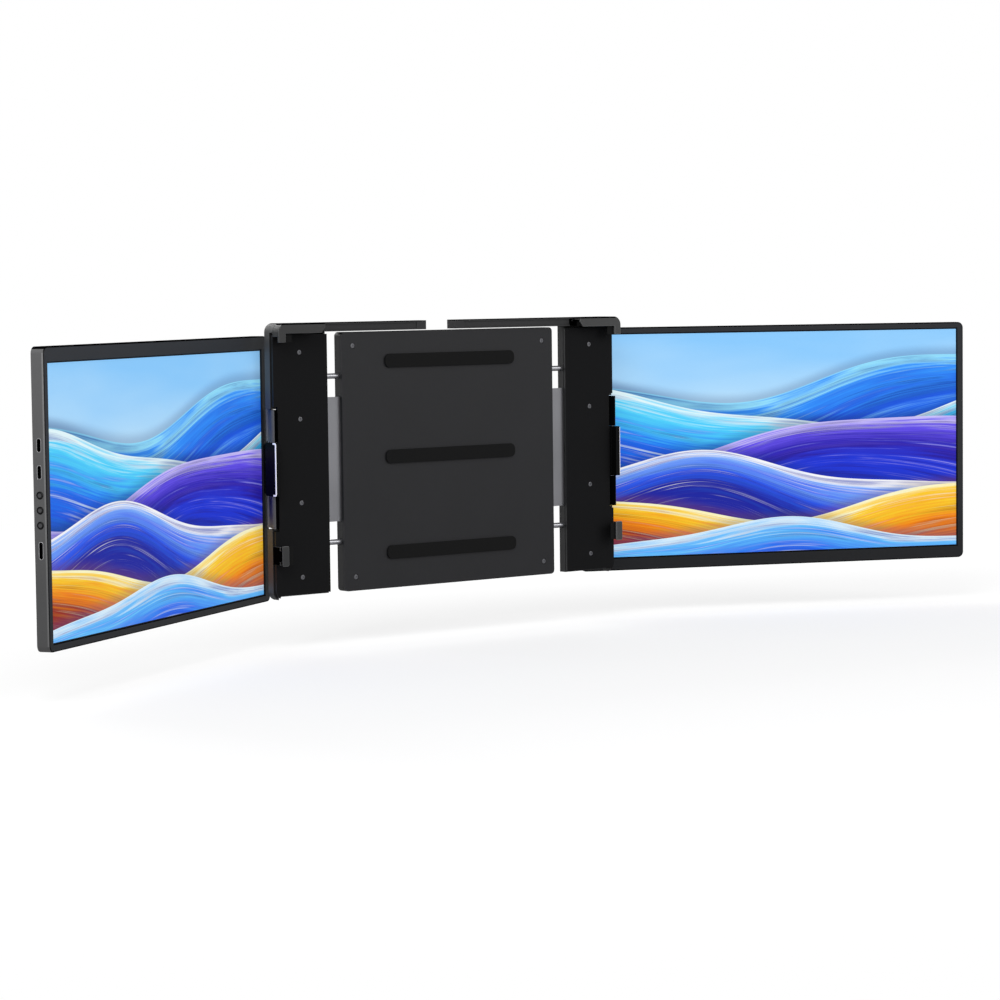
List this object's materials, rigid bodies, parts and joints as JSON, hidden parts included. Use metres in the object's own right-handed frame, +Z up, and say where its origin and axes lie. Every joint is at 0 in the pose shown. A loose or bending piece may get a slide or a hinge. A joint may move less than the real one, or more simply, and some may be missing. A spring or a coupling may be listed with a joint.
{
  "type": "laptop screen extender",
  "caption": "Folding laptop screen extender: a sliding frame with lid hooks and clips, and a hinged monitor on each side.",
  "frame": {"origin": "centre of the face of the middle rubber strip on which the back of the laptop lid rests", "axes": "+X to the user's right along the frame, +Y away from the user, +Z up"},
  "size_m": [0.8859, 0.1843, 0.1993],
  "materials": {
    "shell_grey": "dark grey anodised, fine satin",
    "bezel_black": "satin black",
    "screen": "matt anti-glare display glass with a picture behind it",
    "backlight_white": "white diffuser",
    "board_green": "solder mask",
    "hinge_black": "black semi-matt coating",
    "screw_steel": "blackened steel",
    "socket_steel": "bright nickel",
    "pin_steel": "polished steel",
    "frame_grey": "dark grey anodised, fine satin",
    "plate_grey": "dark grey anodised, fine satin",
    "hook_grey": "dark grey anodised, fine satin",
    "pad_rubber": "matt black",
    "guide_black": "black bearing plastic",
    "tongue_steel": "rolled steel strip",
    "trim_chrome": "polished",
    "arm_grey": "dark grey anodised, fine satin",
    "stand_grey": "dark grey anodised, fine satin",
    "button_black": "matt black"
  },
  "bodies": {
    "base": {"centre_shell": "frame_grey", "centre_plate": "plate_grey", "seat_pads": "pad_rubber", "guide_blocks": "guide_black", "kickstand_pin": "pin_steel", "centre_screws": "screw_steel"},
    "kickstand": {"kickstand": "stand_grey", "kickstand_foot": "pad_rubber"},
    "left_carriage": {"left_side_shell": "frame_grey", "left_seat_plate": "frame_grey", "left_frame_screws": "screw_steel", "left_corner_hook": "hook_grey", "left_hook_pad": "pad_rubber", "left_side_clip": "hook_grey", "left_clip_pad": "pad_rubber", "left_guide_rods": "pin_steel", "left_slide_tongue": "tongue_steel", "left_hinge_block": "hinge_black", "left_hinge_trim": "trim_chrome", "left_frame_pin": "pin_steel"},
    "left_arms": {"left_hinge_arms": "arm_grey"},
    "left_monitor": {"left_monitor_shell": "shell_grey", "left_bezel": "bezel_black", "left_display_glass": "screen", "left_backlight": "backlight_white", "left_circuit_board": "board_green", "left_hinge_bracket": "hinge_black", "left_bracket_screws": "screw_steel", "left_usb_sockets": "socket_steel", "left_hdmi_socket": "socket_steel", "left_monitor_pin": "pin_steel"},
    "left_button_1": {"left_button_1": "button_black"},
    "left_button_2": {"left_button_2": "button_black"},
    "left_button_3": {"left_button_3": "button_black"},
    "right_carriage": {"right_side_shell": "frame_grey", "right_seat_plate": "frame_grey", "right_frame_screws": "screw_steel", "right_corner_hook": "hook_grey", "right_hook_pad": "pad_rubber", "right_side_clip": "hook_grey", "right_clip_pad": "pad_rubber", "right_guide_rods": "pin_steel", "right_slide_tongue": "tongue_steel", "right_hinge_block": "hinge_black", "right_hinge_trim": "trim_chrome", "right_frame_pin": "pin_steel"},
    "right_arms": {"right_hinge_arms": "arm_grey"},
    "right_monitor": {"right_monitor_shell": "shell_grey", "right_bezel": "bezel_black", "right_display_glass": "screen", "right_backlight": "backlight_white", "right_circuit_board": "board_green", "right_hinge_bracket": "hinge_black", "right_bracket_screws": "screw_steel", "right_usb_sockets": "socket_steel", "right_hdmi_socket": "socket_steel", "right_monitor_pin": "pin_steel"},
    "right_button_1": {"right_button_1": "button_black"},
    "right_button_2": {"right_button_2": "button_black"},
    "right_button_3": {"right_button_3": "button_black"}
  },
  "joints": [
    {"name": "left_carriage_slide", "type": "slide", "parent": "base", "child": "left_carriage", "axis": [-1, 0, 0], "range_m": [-0.012, 0.022]},
    {"name": "left_arm_fold", "type": "hinge", "parent": "left_carriage", "child": "left_arms", "pos_m": [-0.1577, 0.0015, -0.0048], "axis": [0, 0, 1], "range_deg": [-12, 146]},
    {"name": "left_monitor_tilt", "type": "hinge", "parent": "left_arms", "child": "left_monitor", "pos_m": [-0.15139, 0.01728, -0.0048], "axis": [0, 0, 1], "range_deg": [-40, 3]},
    {"name": "left_button_1_press", "type": "slide", "parent": "left_monitor", "child": "left_button_1", "axis": [0.8572, 0.515, 0], "range_m": [0, 0.0003], "stiffness_N_per_m": 2500},
    {"name": "left_button_2_press", "type": "slide", "parent": "left_monitor", "child": "left_button_2", "axis": [0.8572, 0.515, 0], "range_m": [0, 0.0003], "stiffness_N_per_m": 2500},
    {"name": "left_button_3_press", "type": "slide", "parent": "left_monitor", "child": "left_button_3", "axis": [0.8572, 0.515, 0], "range_m": [0, 0.0003], "stiffness_N_per_m": 2500},
    {"name": "right_carriage_slide", "type": "slide", "parent": "base", "child": "right_carriage", "axis": [1, 0, 0], "range_m": [-0.012, 0.022]},
    {"name": "right_arm_fold", "type": "hinge", "parent": "right_carriage", "child": "right_arms", "pos_m": [0.1577, 0.0015, -0.0048], "axis": [0, 0, -1], "range_deg": [-15, 156]},
    {"name": "right_monitor_tilt", "type": "hinge", "parent": "right_arms", "child": "right_monitor", "pos_m": [0.15233, 0.02653, -0.0048], "axis": [0, 0, -1], "range_deg": [-40, 1.8]},
    {"name": "right_button_1_press", "type": "slide", "parent": "right_monitor", "child": "right_button_1", "axis": [-0.9259, 0.3778, 0], "range_m": [0, 0.0003], "stiffness_N_per_m": 2500},
    {"name": "right_button_2_press", "type": "slide", "parent": "right_monitor", "child": "right_button_2", "axis": [-0.9259, 0.3778, 0], "range_m": [0, 0.0003], "stiffness_N_per_m": 2500},
    {"name": "right_button_3_press", "type": "slide", "parent": "right_monitor", "child": "right_button_3", "axis": [-0.9259, 0.3778, 0], "range_m": [0, 0.0003], "stiffness_N_per_m": 2500},
    {"name": "kickstand_fold", "type": "hinge", "parent": "base", "child": "kickstand", "pos_m": [0, 0.0088, 0.012], "axis": [1, 0, 0], "range_deg": [0, 75]}
  ]
}
